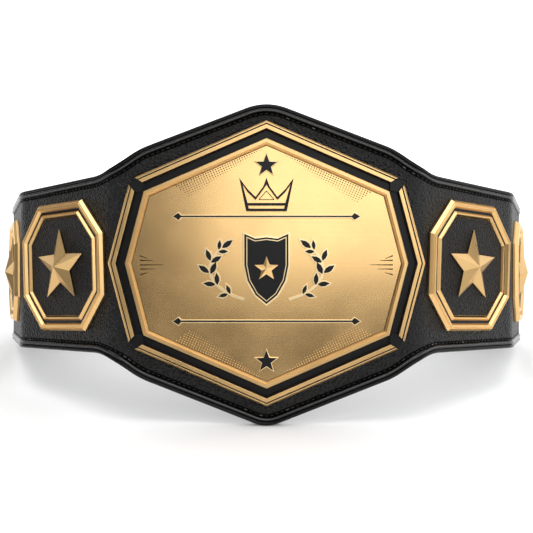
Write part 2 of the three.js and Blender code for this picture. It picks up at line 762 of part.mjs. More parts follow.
const sideNames = { '-1': 'left', 1: 'right' };
for (const side of [-1, 1]) {
  for (const [place, plate] of Object.entries(sidePlates)) {
    const outline = sideOutline(plate);
    const field = inset(outline, FRAME_WIDTH + GROOVE_WIDTH + RING_WIDTH + GAP);
    const fieldFoot = GAP + PLATE_FLOOR + GAP;
    const starFoot = fieldFoot + FIELD_THICK + GAP;
    const group = new THREE.Group();
    group.add(
      named(`side_plate_${place}_${sideNames[side]}`, steppedPlate(outline, GAP, sidePlateRows()), gold),
      named(`side_field_${place}_${sideNames[side]}`, prism(field, fieldFoot, fieldFoot + FIELD_THICK), leather),
      named(`side_star_${place}_${sideNames[side]}`, sideStar(plate.star, starFoot), gold),
    );
    plate.tilt = side * Math.atan(slopeOf(middleOf, side, plate.distance));
    seatOnBand(group, side, plate.distance, middleOf(side, plate.distance), plate.tilt);
  }
}

// Fasteners, each with the hole in the leather that it passes through. Their z points out of the leather.

function holeTool(depth) {
  const radius = SHANK_RADIUS + GAP;
  return turned([[0, -depth], [radius, -depth], [radius, 2 * BEAD_HEIGHT], [0, 2 * BEAD_HEIGHT]]);
}

function plateScrew() {
  const back = -LEATHER_THICK - GAP;
  const rim = back - SCREW_HEAD_HEIGHT;
  return turned([
    [0, rim], [SCREW_HEAD_RADIUS * 0.75, rim], [SCREW_HEAD_RADIUS, back - SCREW_HEAD_HEIGHT * 0.3],
    [SCREW_HEAD_RADIUS, back], [SHANK_RADIUS, back], [SHANK_RADIUS, 0], [0, 0],
  ]);
}

function snapStud() {
  const back = -LEATHER_THICK - LAP_STEP - GAP;
  const radius = SNAP_RADIUS;
  return turned([
    [0, back - SNAP_FLANGE], [radius * 0.8, back - SNAP_FLANGE], [radius * 0.8, back], [SHANK_RADIUS, back], [SHANK_RADIUS, GAP],
    [radius, GAP], [radius, GAP + SNAP_HEIGHT * 0.35], [radius * 0.62, GAP + SNAP_HEIGHT * 0.85],
    [0, GAP + SNAP_HEIGHT],
  ]);
}

const holes = [];

// Adds a fastener at a place on the band, and its hole to the list of holes
function fasten(name, geometry, side, distance, z, offset, tilt, depth) {
  const group = new THREE.Group();
  const mesh = named(name, geometry, steel);
  mesh.position.set(offset[0], offset[1], 0);
  group.add(mesh);
  seatOnBand(group, side, distance, z, tilt);
  belt.updateMatrixWorld(true);
  holes.push(holeTool(depth).applyMatrix4(mesh.matrixWorld));
}

const mainScrewPlaces = [[-1, 1], [1, 1], [-1, -1], [1, -1]];
mainScrewPlaces.forEach(([side, up], i) => {
  fasten(`plate_screw_${i + 1}`, plateScrew(), side, MAIN_SCREW_X, up * MAIN_SCREW_Z, [0, 0], 0, 2 * LEATHER_THICK);
});
let screwNumber = mainScrewPlaces.length;
for (const side of [-1, 1]) {
  for (const plate of Object.values(sidePlates)) {
    const middle = middleOf(side, plate.distance);
    for (const up of [-1, 1]) {
      screwNumber += 1;
      const offset = [0, up * (plate.height / 2 - SIDE_SCREW_MARGIN)];
      fasten(`plate_screw_${screwNumber}`, plateScrew(), side, plate.distance, middle, offset, plate.tilt,
        2 * LEATHER_THICK);
    }
  }
}

// The snaps go through the outer, left end and the inner, right end behind it
const backDistance = halfLength(-1) - LAP_LENGTH / 2;
const backMiddle = (BACK_TOP_Z + BACK_BOTTOM_Z) / 2;
let snapNumber = 0;
for (const column of [-1, 1]) {
  for (const row of [-1, 0, 1]) {
    snapNumber += 1;
    const distance = backDistance + (column * SNAP_COLUMN_SPACING) / 2;
    fasten(`snap_${snapNumber}`, snapStud(), -1, distance, backMiddle + row * SNAP_ROW_SPACING, [0, 0], 0,
      LEATHER_THICK + LAP_STEP + LEATHER_THICK);
  }
}

// The belt leans back until the lower tip and the back's bottom edge touch the floor together

function lowest(sections, lean) {
  return Math.min(...sections.flat().map(([, y, z]) => z * Math.cos(lean) - y * Math.sin(lean)));
}

function leanOf(sections) {
  const middle = bandPoint(1, FLAT_HALF + NECK_BEND_LENGTH + INNER_RUN, 0).y;
  const front = sections.map((section) => section.filter(([, y]) => y < middle));
  const back = sections.map((section) => section.filter(([, y]) => y >= middle));
  let low = 0;
  let high = Math.PI / 4;
  for (let i = 0; i < 40; i++) {
    const lean = (low + high) / 2;
    if (lowest(back, lean) > lowest(front, lean)) low = lean;
    else high = lean;
  }
  return low;
}

const allSections = [...leftSections, ...rightSections];
const lean = leanOf(allSections);
const floorDrop = lowest(allSections, lean) + FOOT_TRIM;
const FLOOR_SIZE = 4 * WING_END;
const underFloor = new THREE.BoxGeometry(FLOOR_SIZE, FLOOR_SIZE, FLOOR_SIZE)
  .translate(0, 0, floorDrop - FLOOR_SIZE / 2)
  .rotateX(lean);
belt.add(named('strap', cut(plainBand, [underFloor, ...holes]), leather));
belt.rotation.x = -lean;

// The origin is on the floor, midway between the sides and between the front and the back
const part = new THREE.Group();
part.add(belt);
belt.position.z = -floorDrop;
part.updateMatrixWorld(true);
const extent = new THREE.Box3().setFromObject(part, true);
belt.position.x = -(extent.min.x + extent.max.x) / 2;
belt.position.y = -(extent.min.y + extent.max.y) / 2;

export default part;
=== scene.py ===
import math

import bmesh
import bpy
from mathutils import Matrix, Vector


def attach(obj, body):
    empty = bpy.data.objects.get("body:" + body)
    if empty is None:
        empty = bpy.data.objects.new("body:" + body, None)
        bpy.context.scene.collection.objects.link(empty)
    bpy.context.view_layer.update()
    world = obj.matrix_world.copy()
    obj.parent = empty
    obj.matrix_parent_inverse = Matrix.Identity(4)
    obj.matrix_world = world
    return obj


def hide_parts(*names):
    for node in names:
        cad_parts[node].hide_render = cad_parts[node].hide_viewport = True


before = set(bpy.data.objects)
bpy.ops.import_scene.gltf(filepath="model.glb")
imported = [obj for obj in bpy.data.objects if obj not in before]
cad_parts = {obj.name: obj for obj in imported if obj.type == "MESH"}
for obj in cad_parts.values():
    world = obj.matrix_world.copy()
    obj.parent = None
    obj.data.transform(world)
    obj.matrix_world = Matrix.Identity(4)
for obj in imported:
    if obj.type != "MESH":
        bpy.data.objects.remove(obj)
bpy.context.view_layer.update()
scene = bpy.context.scene

# View
# The photograph looks straight at the main plate. The belt stands on its lower tip and on the lower edge
# of its closed back, and so leans back. Pieces are worked out upright, from the plate's centre.
LEAN = math.radians(12.321)
PLATE_CENTRE = Vector((0.0011132, -0.1051848, 0.1221295))
VIEW_DISTANCE = 0.6
VIEW_DROP = 0.00234
LENS_PIXELS = 795
PHOTO_PIXELS = 533
SENSOR = 36

stand = Matrix.Translation(PLATE_CENTRE) @ Matrix.Rotation(-LEAN, 4, "X")
camera = bpy.data.objects.new("camera", bpy.data.cameras.new("camera"))
camera.data.sensor_width = SENSOR
camera.data.lens = SENSOR * LENS_PIXELS / PHOTO_PIXELS
place = Matrix.Translation((0, -VIEW_DISTANCE, -VIEW_DROP)) @ Matrix.Rotation(math.pi / 2, 4, "X")
camera.matrix_world = stand @ place
scene.collection.objects.link(camera)
scene.camera = camera
scene.view_settings.view_transform = "Standard"

# Strap
# One band of black pebble-grain cowhide, two plies thick. The front ply is turned over a cord along the
# edge, so that a round edge and a second bead run all the way round, with a stitched channel inside them.
LEATHER_THICK = 0.004
LAP_STEP = 0.0058
LAP_LENGTH = 0.09
LAP_DROP = 0.0013
END_ROUND = 0.012
FLAT_HALF = 0.109
# Rows of length and turn in degrees, from the middle of the front to the end of the round back
BAND_PLAN = [(FLAT_HALF, 0), (0.015, 39), (0.106, 0), (0.013, 30), (0.09, 0), (0.07, 111)]
LAST_STRAIGHT = 4
LEATHER_FACE = 0.0059
NECK_DISTANCE = 0.1214
NECK_HALF_HEIGHT = 0.0692
APEX_HEIGHT = 0.1246
TIP_HEIGHT = 0.1256
SHOULDER = (0.0995, 0.0865, 0.009)
NECK_EASE = 0.018
APEX_EASE = 0.016
TIP_EASE = 0.01
BACK_TOP = 0.048
BACK_BOTTOM = -0.076
MAX_STRETCH = 1.35
STATION_STEP = 0.0025
FIELD_ROWS = 12
# Rows of distance in from the border, and height above the leather's face
EDGE_FRONT = [
    (0, -0.0002), (0.00025, 0.0005), (0.00075, 0.00095), (0.0014, 0.00115), (0.0021, 0.00105),
    (0.0026, 0.0007), (0.0029, 0.00045), (0.0032, 0.0007), (0.0037, 0.0012), (0.0044, 0.00145),
    (0.0051, 0.00135), (0.0057, 0.0009), (0.0062, 0.0003), (0.0066, -0.00015), (0.0071, -0.00035),
    (0.0077, -0.0003), (0.0082, 0), (0.009, 0.00012), (0.0105, 0.00005), (0.012, 0),
]
EDGE_BACK = [(0, -0.0028), (0.00025, -0.00345), (0.0007, -0.00385), (0.0014, -LEATHER_THICK)]


def along_run(run, distance, outwards):
    x, y = run["x"], run["y"]
    heading = run["heading"] + run["turn"] * distance / run["length"]
    if run["turn"] == 0:
        x += distance * math.cos(heading)
        y += distance * math.sin(heading)
    else:
        radius = run["length"] / run["turn"]
        x += radius * (math.sin(heading) - math.sin(run["heading"]))
        y += radius * (math.cos(run["heading"]) - math.cos(heading))
    return x + outwards * math.sin(heading), y - outwards * math.cos(heading), heading


def band_run(start, length, x, y, heading, turn):
    """A straight or evenly bent length of the band. The turn over its length is in degrees."""
    return {"start": start, "length": length, "x": x, "y": y, "heading": heading, "turn": math.radians(turn)}


def runs_of(side):
    """The runs of one side of the band. The left end laps outside the right one, so its last straight run is
    longer."""
    runs = []
    start, x, y, heading = 0, 0, LEATHER_FACE, 0
    for number, (length, turn) in enumerate(BAND_PLAN):
        if side < 0 and number == LAST_STRAIGHT:
            length += LAP_STEP / math.sin(heading)
        run = band_run(start, length, x, y, heading, turn)
        runs.append(run)
        x, y, heading = along_run(run, length, 0)
        start += length
    runs.append(band_run(start, x + LAP_LENGTH / 2, x, y, heading, 0))
    return runs


band_runs = {side: runs_of(side) for side in (-1, 1)}
half_length = {side: runs[-1]["start"] + runs[-1]["length"] for side, runs in band_runs.items()}
wing_end = half_length[1] - LAP_LENGTH / 2


def band_point(side, distance, z, outwards):
    run = [run for run in band_runs[side] if run["start"] <= max(distance, 0)][-1]
    x, y, heading = along_run(run, distance - run["start"], outwards)
    return Vector((side * x, y, z))


def eased_chain(corners, distance):
    """Height of an outline of straight edges with eased corners. It is the same on both sides of the first."""
    slopes = [(b[1] - a[1]) / (b[0] - a[0]) for a, b in zip(corners, corners[1:])] + [0]
    height = corners[0][1] - slopes[0] * distance
    for number, (at, z, ease) in enumerate(corners):
        change = slopes[number] - (-slopes[0] if number == 0 else slopes[number - 1])
        eased = min(max(distance - at + ease, 0), 2 * ease)
        height += change * (eased ** 2 / (4 * ease) + max(distance - at - ease, 0))
    return height


def end_corner(left):
    """How far the round corner of an end takes the edge in, where so much of the length is left."""
    if left >= END_ROUND:
        return 0
    return END_ROUND - math.sqrt(END_ROUND ** 2 - (END_ROUND - left) ** 2)


def edge_heights(side, distance):
    sides = [SHOULDER, (NECK_DISTANCE, NECK_HALF_HEIGHT, NECK_EASE)]
    drop = LAP_DROP if side > 0 else 0
    share = min(max((distance - NECK_DISTANCE) / (wing_end - NECK_DISTANCE), 0), 1)
    eased = math.sin(share * math.pi / 2)
    top = eased_chain([(0, APEX_HEIGHT, APEX_EASE)] + sides, distance)
    bottom = -eased_chain([(0, TIP_HEIGHT, TIP_EASE)] + sides, distance)
    top += (BACK_TOP - drop - NECK_HALF_HEIGHT) * eased
    bottom += (BACK_BOTTOM - drop + NECK_HALF_HEIGHT) * eased
    return top, bottom


def stretches(side, distance):
    """How much higher the rows along the top and bottom edge are where the edge slopes."""
    near, far = edge_heights(side, distance + 0.0005), edge_heights(side, abs(distance - 0.0005))
    return [min(math.hypot(1, (a - b) / 0.001), MAX_STRETCH) for a, b in zip(near, far)]


def profile(table, distance):
    for (start, low), (end, high) in zip(table, table[1:]):
        if distance <= end:
            return low + (high - low) * (distance - start) / (end - start)
    return table[-1][1]


def border_distance(inwards, left):
    corner = inwards + end_corner(left)
    if left < END_ROUND and corner < END_ROUND:
        return max(END_ROUND - math.hypot(END_ROUND - left, END_ROUND - corner), 0)
    return min(inwards, left)


def band_section(side, distance):
    """One closed section across the band, from the back's top edge round to the front's."""
    left = half_length[side] - distance
    top, bottom = edge_heights(side, distance)
    top -= end_corner(left)
    bottom += end_corner(left)
    top_stretch, bottom_stretch = stretches(side, distance)
    section = []
    for table in (EDGE_BACK, EDGE_FRONT):
        reach = table[-1][0]
        fields = FIELD_ROWS if table is EDGE_FRONT else 3
        rows = [(bottom + inwards * bottom_stretch, inwards) for inwards, _ in table]
        low, high = bottom + reach * bottom_stretch, top - reach * top_stretch
        rows += [(low + (high - low) * i / fields, reach) for i in range(1, fields)]
        rows += [(top - inwards * top_stretch, inwards) for inwards, _ in reversed(table)]
        borders = [border_distance(inwards, left) for _, inwards in rows]
        points = [(band_point(side, distance, z, profile(table, border)), border)
                  for (z, _), border in zip(rows, borders)]
        section += reversed(points) if table is EDGE_BACK else points
    return section


def stations_of(side):
    length = half_length[side]
    steps = round((length - END_ROUND) / STATION_STEP)
    stations = [(length - END_ROUND) * i / steps for i in range(steps)]
    ends = [inwards for inwards, _ in reversed(EDGE_FRONT)]
    return stations + [length - left for left in ends]


def keep_values(mesh, name, kind, values):
    """Keeps a value, or three for a vector, with each point of a mesh."""
    field = "vector" if kind == "FLOAT_VECTOR" else "value"
    mesh.attributes.new(name, kind, "POINT").data.foreach_set(field, values)


def mesh_object(name, points, faces, materials, edges=()):
    """A mesh placed where the belt stands. Nothing of it sinks into the floor."""
    mesh = bpy.data.meshes.new(name)
    placed = [stand @ Vector(point) for point in points]
    mesh.from_pydata([(x, y, max(z, 0)) for x, y, z in placed], edges, faces)
    mesh.validate()
    piece = bpy.data.objects.new(name, mesh)
    scene.collection.objects.link(piece)
    for material in materials:
        mesh.materials.append(material)
    return piece


def lofted(sections):
    """Points and faces of a skin over closed sections, with a face over each end."""
    count = len(sections[0])
    faces = []
    for row in range(len(sections) - 1):
        for i in range(count):
            a, b = row * count + i, row * count + (i + 1) % count
            faces.append((a, b, b + count, a + count))
    last = (len(sections) - 1) * count
    faces.append(tuple(reversed(range(count))))
    faces.append(tuple(range(last, last + count)))
    return [point for section in sections for point in section], faces


def soften(piece, angle=35):
    mesh = piece.data
    mesh.polygons.foreach_set("use_smooth", [True] * len(mesh.polygons))
    mesh.set_sharp_from_angle(angle=math.radians(angle))
    mesh.update()


def face_outwards(piece):
    work = bmesh.new()
    work.from_mesh(piece.data)
    bmesh.ops.recalc_face_normals(work, faces=work.faces)
    work.to_mesh(piece.data)
    work.free()


def add_node(tree, kind, inputs=None, **settings):
    made = tree.nodes.new(kind)
    for name, value in settings.items():
        setattr(made, name, value)
    for name, value in (inputs or {}).items():
        if isinstance(value, bpy.types.NodeSocket):
            tree.links.new(value, made.inputs[name])
        else:
            made.inputs[name].default_value = value
    return made


def new_material(name):
    material = bpy.data.materials.new(name)
    material.use_nodes = True
    tree = material.node_tree
    tree.nodes.clear()
    shader = tree.nodes.new("ShaderNodeBsdfPrincipled")
    output = tree.nodes.new("ShaderNodeOutputMaterial")
    tree.links.new(shader.outputs[0], output.inputs[0])
    return material, tree, shader


def noise(tree, at, scale, detail):
    return add_node(tree, "ShaderNodeTexNoise", {
        "Vector": at, "Scale": scale, "Detail": detail}).outputs["Fac"]


def mapped(tree, value, start, end, low, high):
    """What lies between start and end, spread over low to high."""
    return add_node(tree, "ShaderNodeMapRange", {
        "Value": value, "From Min": start, "From Max": end, "To Min": low, "To Max": high}).outputs[0]


def combined(tree, operation, first, second):
    return add_node(tree, "ShaderNodeMath", {0: first, 1: second}, operation=operation).outputs[0]


def set_grey(tree, shader, value):
    colour = add_node(tree, "ShaderNodeCombineColor", {"Red": value, "Green": value, "Blue": value})
    tree.links.new(colour.outputs[0], shader.inputs["Base Color"])


def set_bump(tree, shader, height, strength, distance):
    bump = add_node(tree, "ShaderNodeBump", {"Height": height, "Strength": strength, "Distance": distance})
    tree.links.new(bump.outputs[0], shader.inputs["Normal"])
    return bump


def leather_finish(name, pebble, bordered):
    """Pebbled black leather. Where it is bordered, the turned edge is smooth, its channels are darkened as
    painted shade and the crest of its second bead is lightened as a painted highlight."""
    material, tree, shader = new_material(name)
    at = add_node(tree, "ShaderNodeTexCoord").outputs["Object"]
    cells = add_node(tree, "ShaderNodeTexVoronoi", {"Vector": at, "Scale": 1 / pebble, "Randomness": 0.9},
                     feature="SMOOTH_F1").outputs["Distance"]
    dye_and_painted_light = mapped(tree, noise(tree, at, 22, 4), 0.3, 0.7, 0.0015, 0.0045)
    gloss = mapped(tree, cells, 0, 0.7, 0.27, 0.54)
    grain = PEBBLE_DEPTH
    if bordered:
        border = add_node(tree, "ShaderNodeAttribute", attribute_name="border").outputs["Fac"]
        ramp = add_node(tree, "ShaderNodeValToRGB", {"Fac": combined(tree, "MULTIPLY", border, RAMP_SCALE)})
        for one, (_, shade) in zip(ramp.color_ramp.elements, (EDGE_REFLECTION_AND_PAINTED_LIGHT[0], EDGE_REFLECTION_AND_PAINTED_LIGHT[-1])):
            one.color = (shade, shade, shade, 1)
        for inset, shade in EDGE_REFLECTION_AND_PAINTED_LIGHT:
            ramp.color_ramp.elements.new(inset * RAMP_SCALE).color = (shade, shade, shade, 1)
        shades = ramp.outputs["Color"]
        # Painted shade: the colour is darkened in the channels beside the beads
        dye_and_painted_light = combined(tree, "MULTIPLY", dye_and_painted_light, shades)
        # Painted highlight: the crest of the second bead is made paler
        dye_and_painted_light = combined(tree, "ADD", dye_and_painted_light, mapped(tree, shades, 0.5, 1, 0, 0.05))
        tree.links.new(shades, shader.inputs["Specular IOR Level"])
        grain = mapped(tree, border, 0.006, 0.009, PEBBLE_DEPTH * 0.12, PEBBLE_DEPTH)
        gloss = mapped(tree, border, 0.006, 0.0075, 0.2, gloss)
    else:
        shader.inputs["Specular IOR Level"].default_value = 0.25
    set_grey(tree, shader, dye_and_painted_light)
    tree.links.new(gloss, shader.inputs["Roughness"])
    small = set_bump(tree, shader, noise(tree, at, 3.2 / pebble, 3), 0.3, 0.0002)
    pebbles = set_bump(tree, shader, cells, 1.0, grain)
    pebbles.invert = True
    tree.links.new(small.outputs[0], pebbles.inputs["Normal"])
    return material


PEBBLE_DEPTH = 0.0016
# The shades run over the first hundredth of a metre in from the border
RAMP_SCALE = 100
# Rows of distance in from the border, and how much the leather there reflects. The same value also darkens the
# colour in the
# # channels as painted shade, and lightens the crest of the second bead as a painted highlight.
EDGE_REFLECTION_AND_PAINTED_LIGHT = [(0.0022, 0.25), (0.0027, 0.04), (0.0031, 0.04), (0.0036, 0.3), (0.0042, 0.3), (0.0048, 1.0),
                  (0.0055, 0.3), (0.0062, 0.04), (0.0084, 0.04), (0.0094, 0.35)]
black_leather = leather_finish("black_leather", 0.0016, True)

sections = [band_section(-1, at) for at in reversed(stations_of(-1)[1:])]
sections += [band_section(1, at) for at in stations_of(1)]
borders = [border for section in sections for _, border in section]
strap_points, strap_faces = lofted([[point for point, _ in section] for section in sections])
strap = mesh_object("strap_leather", strap_points, strap_faces, [black_leather])
keep_values(strap.data, "border", "FLOAT", borders)
face_outwards(strap)
soften(strap, 50)
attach(strap, "root")
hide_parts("strap")

# Edge stitching
# Waxed black thread, locked through both plies in the channel inside the second bead, all the way round the
# front and the lining.
STITCH_INSET = 0.0074
STITCH_SPACING = 0.0042
STITCH_LENGTH = 0.0033
STITCH_RADIUS = 0.00042
STITCH_SEED = 7
PATH_STEP = 0.003


def node_group(name, inputs):
    """A geometry node group with one geometry in, one out and the named inputs."""
    group = bpy.data.node_groups.new(name, "GeometryNodeTree")
    group.interface.new_socket(name="Geometry", in_out="INPUT", socket_type="NodeSocketGeometry")
    for socket, kind in inputs.items():
        group.interface.new_socket(name=socket, in_out="INPUT", socket_type="NodeSocket" + kind)
    group.interface.new_socket(name="Geometry", in_out="OUTPUT", socket_type="NodeSocketGeometry")
    return group, group.nodes.new("NodeGroupInput").outputs


def facing(group, out, along):
    """A rotation whose Z looks out and whose X runs along."""
    upright = add_node(group, "FunctionNodeAlignRotationToVector", {"Vector": out}, axis="Z")
    return add_node(group, "FunctionNodeAlignRotationToVector", {
        "Rotation": upright.outputs[0], "Vector": along}, axis="X", pivot_axis="Z").outputs[0]


def end_group(group, instances, material):
    whole = add_node(group, "GeometryNodeRealizeInstances", {"Geometry": instances})
    painted = add_node(group, "GeometryNodeSetMaterial", {"Geometry": whole.outputs[0], "Material": material})
    add_node(group, "NodeGroupOutput", {"Geometry": painted.outputs[0]})


def named_value(group, name, kind):
    return add_node(group, "GeometryNodeInputNamedAttribute", {"Name": name}, data_type=kind).outputs[0]


def run_group(piece, group, values):
    """Leaves on the piece the plain mesh that the node group makes of it."""
    modifier = piece.modifiers.new(group.name, "NODES")
    modifier.node_group = group
    for item in group.interface.items_tree:
        if item.in_out == "INPUT" and item.name in values:
            modifier[item.identifier] = values[item.name]
    made = bpy.data.meshes.new_from_object(piece.evaluated_get(bpy.context.evaluated_depsgraph_get()))
    piece.modifiers.clear()
    piece.data = made


def random_value(group, seed, low, high):
    return add_node(group, "FunctionNodeRandomValue", {
        2: low, 3: high, "Seed": seed}, data_type="FLOAT").outputs[1]


def stitch_group():
    group, given = node_group("stitches_along_path", {
        "Spacing": "Float", "Length": "Float", "Radius": "Float", "Seed": "Int", "Material": "Material"})
    path = add_node(group, "GeometryNodeMeshToCurve", {"Mesh": given["Geometry"]})
    spaced = add_node(group, "GeometryNodeResampleCurve", {
        "Curve": path.outputs[0], "Length": given["Spacing"]}, mode="LENGTH")
    ball = add_node(group, "GeometryNodeMeshUVSphere", {"Segments": 6, "Rings": 4, "Radius": 1.0})
    half = combined(group, "MULTIPLY", given["Length"], 0.5)
    size = add_node(group, "ShaderNodeCombineXYZ", {"X": half, "Y": given["Radius"], "Z": given["Radius"]})
    stitch = add_node(group, "GeometryNodeTransform", {"Geometry": ball.outputs[0], "Scale": size.outputs[0]})
    tangent = add_node(group, "GeometryNodeInputTangent")
    laid = facing(group, named_value(group, "out", "FLOAT_VECTOR"), tangent.outputs[0])
    placed = add_node(group, "GeometryNodeInstanceOnPoints", {
        "Points": spaced.outputs[0], "Instance": stitch.outputs[0], "Rotation": laid,
        "Scale": random_value(group, given["Seed"], 0.88, 1.05)})
    kept = add_node(group, "GeometryNodeStoreNamedAttribute", {
        "Geometry": placed.outputs[0], "Name": "shade",
        "Value": random_value(group, given["Seed"], 0.0, 1.0)}, data_type="FLOAT", domain="INSTANCE")
    end_group(group, kept.outputs[0], given["Material"])
    return group


def thread_finish(name):
    """Waxed black thread. A few stitches are paler, where the wax has worn off."""
    material, tree, shader = new_material(name)
    at = add_node(tree, "ShaderNodeTexCoord").outputs["Object"]
    shade = add_node(tree, "ShaderNodeAttribute", attribute_name="shade").outputs["Fac"]
    set_grey(tree, shader, mapped(tree, shade, 0.88, 1, 0.006, 0.16))
    twist = add_node(tree, "ShaderNodeTexWave", {"Vector": at, "Scale": 900, "Distortion": 2.0})
    set_bump(tree, shader, twist.outputs["Fac"], 0.5, 0.0001)
    shader.inputs["Roughness"].default_value = 0.45
    return material


def stitch_line(side, top, outwards):
    """Points of the stitching along one edge, from the middle of the front to the middle of the end."""
    straight = half_length[side] - END_ROUND
    turn = END_ROUND - STITCH_INSET
    steps = round(straight / PATH_STEP)
    rows = [(straight * i / steps, STITCH_INSET) for i in range(steps + 1)]
    for angle in (18, 36, 54, 72, 90):
        a = math.radians(angle)
        rows.append((straight + turn * math.sin(a), END_ROUND - turn * math.cos(a)))
    points = []
    for distance, inwards in rows:
        edges, slant = edge_heights(side, distance), stretches(side, distance)
        z = edges[0] - inwards * slant[0] if top else edges[1] + inwards * slant[1]
        points.append((band_point(side, distance, z, outwards), band_point(side, distance, z, 1)))
    return points


def stitching(name, outwards):
    path = []
    for side, top in ((1, True), (1, False), (-1, False), (-1, True)):
        line = stitch_line(side, top, outwards)
        path += line if top == (side > 0) else list(reversed(line))[:-1]
    edges = [(i, (i + 1) % len(path)) for i in range(len(path))]
    piece = mesh_object(name, [point for point, _ in path], [], [], edges)
    outs = [value for point, outer in path for value in stand.to_3x3() @ (outer - point).normalized()]
    keep_values(piece.data, "out", "FLOAT_VECTOR", outs)
    run_group(piece, stitch_group(), {
        "Spacing": STITCH_SPACING, "Length": STITCH_LENGTH, "Radius": STITCH_RADIUS, "Seed": STITCH_SEED,
        "Material": black_thread})
    soften(piece, 80)
    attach(piece, "root")


black_thread = thread_finish("black_thread")
stitching("front_stitches", -0.00005)
stitching("lining_stitches", -LEATHER_THICK)

# Main plate
# A black enamelled backing casting, four bent gold bars round its rim and a gold face casting inside them,
# all screwed together through the leather. Every edge of a casting is slightly rounded by polishing.
POLISHED_EDGE = 0.00014
BASE_EDGE = 0.0003


def merge_flats(work):
    """Joins the triangles of each flat face. A flat ring is left in quads, because it has a hole."""
    left = set(work.faces)
    flats, rings = [], []
    while left:
        region = [left.pop()]
        for one in region:
            for edge in one.edges:
                for other in edge.link_faces:
                    if other in left and other.normal.dot(region[0].normal) > 0.99999:
                        left.discard(other)
                        region.append(other)
        corners = {vertex for one in region for vertex in one.verts}
        edges = {edge for one in region for edge in one.edges}
        whole = len(corners) - len(edges) + len(region) == 1
        (flats if whole else rings).append(region)
    for region in rings:
        bmesh.ops.join_triangles(work, faces=region, angle_face_threshold=0.02, angle_shape_threshold=3.1)
    for region in flats:
        if len(region) > 1:
            bmesh.ops.dissolve_faces(work, faces=region)


def casting(name, materials, width=POLISHED_EDGE, angle=12):
    """A copy of a solid with its edges rounded, before its finishes are picked face by face."""
    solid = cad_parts[name].data
    mesh = bpy.data.meshes.new("cast_" + name)
    faces = [list(one.vertices) for one in solid.polygons]
    mesh.from_pydata([vertex.co for vertex in solid.vertices], [], faces)
    work = bmesh.new()
    work.from_mesh(mesh)
    bmesh.ops.remove_doubles(work, verts=work.verts, dist=1e-6)
    merge_flats(work)
    edges = [edge for edge in work.edges if len(edge.link_faces) == 2
             and edge.calc_face_angle(0) > math.radians(angle)]
    rounded = bmesh.ops.bevel(work, geom=edges, offset=width, segments=2, profile=0.6, affect="EDGES",
                              clamp_overlap=True)["faces"]
    for one in work.faces:
        one.smooth = False
    for one in rounded:
        one.smooth = True
    bmesh.ops.dissolve_degenerate(work, dist=1e-6, edges=work.edges)
    bmesh.ops.triangulate(work, faces=[one for one in work.faces if len(one.verts) > 4])
    work.to_mesh(mesh)
    work.free()
    mesh.update()
    piece = bpy.data.objects.new("cast_" + name, mesh)
    scene.collection.objects.link(piece)
    for material in materials:
        mesh.materials.append(material)
    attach(piece, "root")
    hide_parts(name)
    return piece


def set_tint(tree, shader, factor, low, high):
    """A base colour that runs from low to high with the factor."""
    tint = add_node(tree, "ShaderNodeMix", {"Factor": factor}, data_type="RGBA")
    tint.inputs[6].default_value = (*low, 1)
    tint.inputs[7].default_value = (*high, 1)
    tree.links.new(tint.outputs[2], shader.inputs["Base Color"])


def gold_finish(name, roughness, streak, colour=(0.87, 0.565, 0.245)):
    """Gold plating, brushed along the plate. The streak is how much the brushing shows in its relief."""
    material, tree, shader = new_material(name)
    at = add_node(tree, "ShaderNodeTexCoord").outputs["Object"]
    brushing = add_node(tree, "ShaderNodeMapping", {
        "Vector": at, "Rotation": (LEAN, 0, 0), "Scale": (9, 900, 900)})
    lines = noise(tree, brushing.outputs[0], 1, 3)
    set_tint(tree, shader, lines, [channel * 0.93 for channel in colour], colour)
    gloss = mapped(tree, noise(tree, at, 30, 3), 0.3, 0.7, roughness * 0.85, roughness * 1.15)
    tree.links.new(gloss, shader.inputs["Roughness"])
    shader.inputs["Metallic"].default_value = 1
    if streak:
        set_bump(tree, shader, lines, streak, 0.00004)
    return material


def enamel_finish(name, level, roughness):
    material, tree, shader = new_material(name)
    at = add_node(tree, "ShaderNodeTexCoord").outputs["Object"]
    broad = noise(tree, at, 60, 5)
    set_tint(tree, shader, broad, (level, level, level), (level * 1.6, level * 1.6, level * 1.65))
    tree.links.new(mapped(tree, broad, 0, 1, roughness * 0.8, roughness * 1.25), shader.inputs["Roughness"])
    set_bump(tree, shader, broad, 0.05, 0.0002)
    shader.inputs["Specular IOR Level"].default_value = 0.22
    return material


black_enamel = enamel_finish("black_enamel", 0.006, 0.32)
polished_gold = gold_finish("polished_gold", 0.31, 0)
brushed_gold = gold_finish("brushed_gold", 0.22, 0.02)

base = casting("main_base", [black_enamel], BASE_EDGE)

out_of_plate = (stand.to_3x3() @ Vector((0, -1, 0))).normalized()


def depth_of(point):
    """How far a point lies in front of the leather's face behind the main plate."""
    return (point - stand @ Vector((0, LEATHER_FACE, 0))).dot(out_of_plate)


def faces_at(faces, centre, low, high, flat=0.999):
    """The faces that look out of the plate and lie between two depths."""
    return [one for one in faces
            if low < depth_of(centre(one)) < high and one.normal.dot(out_of_plate) > flat]


# The line between a bar's two ridges is filled black, and its inner wall is coloured dark gold as painted
# shade
LINE_DEPTHS = (0.0060, 0.00655)
# Dark gold that stands in for shade: painted shade on the bars' inner walls and at the foot of the face's rim
painted_shade_gold = gold_finish("painted_shade_gold", 0.42, 0.1, (0.09, 0.055, 0.025))
for name in ("chevron_right", "chevron_top", "chevron_left", "chevron_bottom"):
    bar = casting(name, [polished_gold, black_enamel, painted_shade_gold])
    for polygon in faces_at(bar.data.polygons, lambda one: one.center, *LINE_DEPTHS, 0.3):
        polygon.material_index = 1
    for polygon in bar.data.polygons:
        inwards = (stand.translation - polygon.center).normalized()
        if abs(polygon.normal.dot(out_of_plate)) < 0.25 and polygon.normal.dot(inwards) > 0.3:
            polygon.material_index = 2
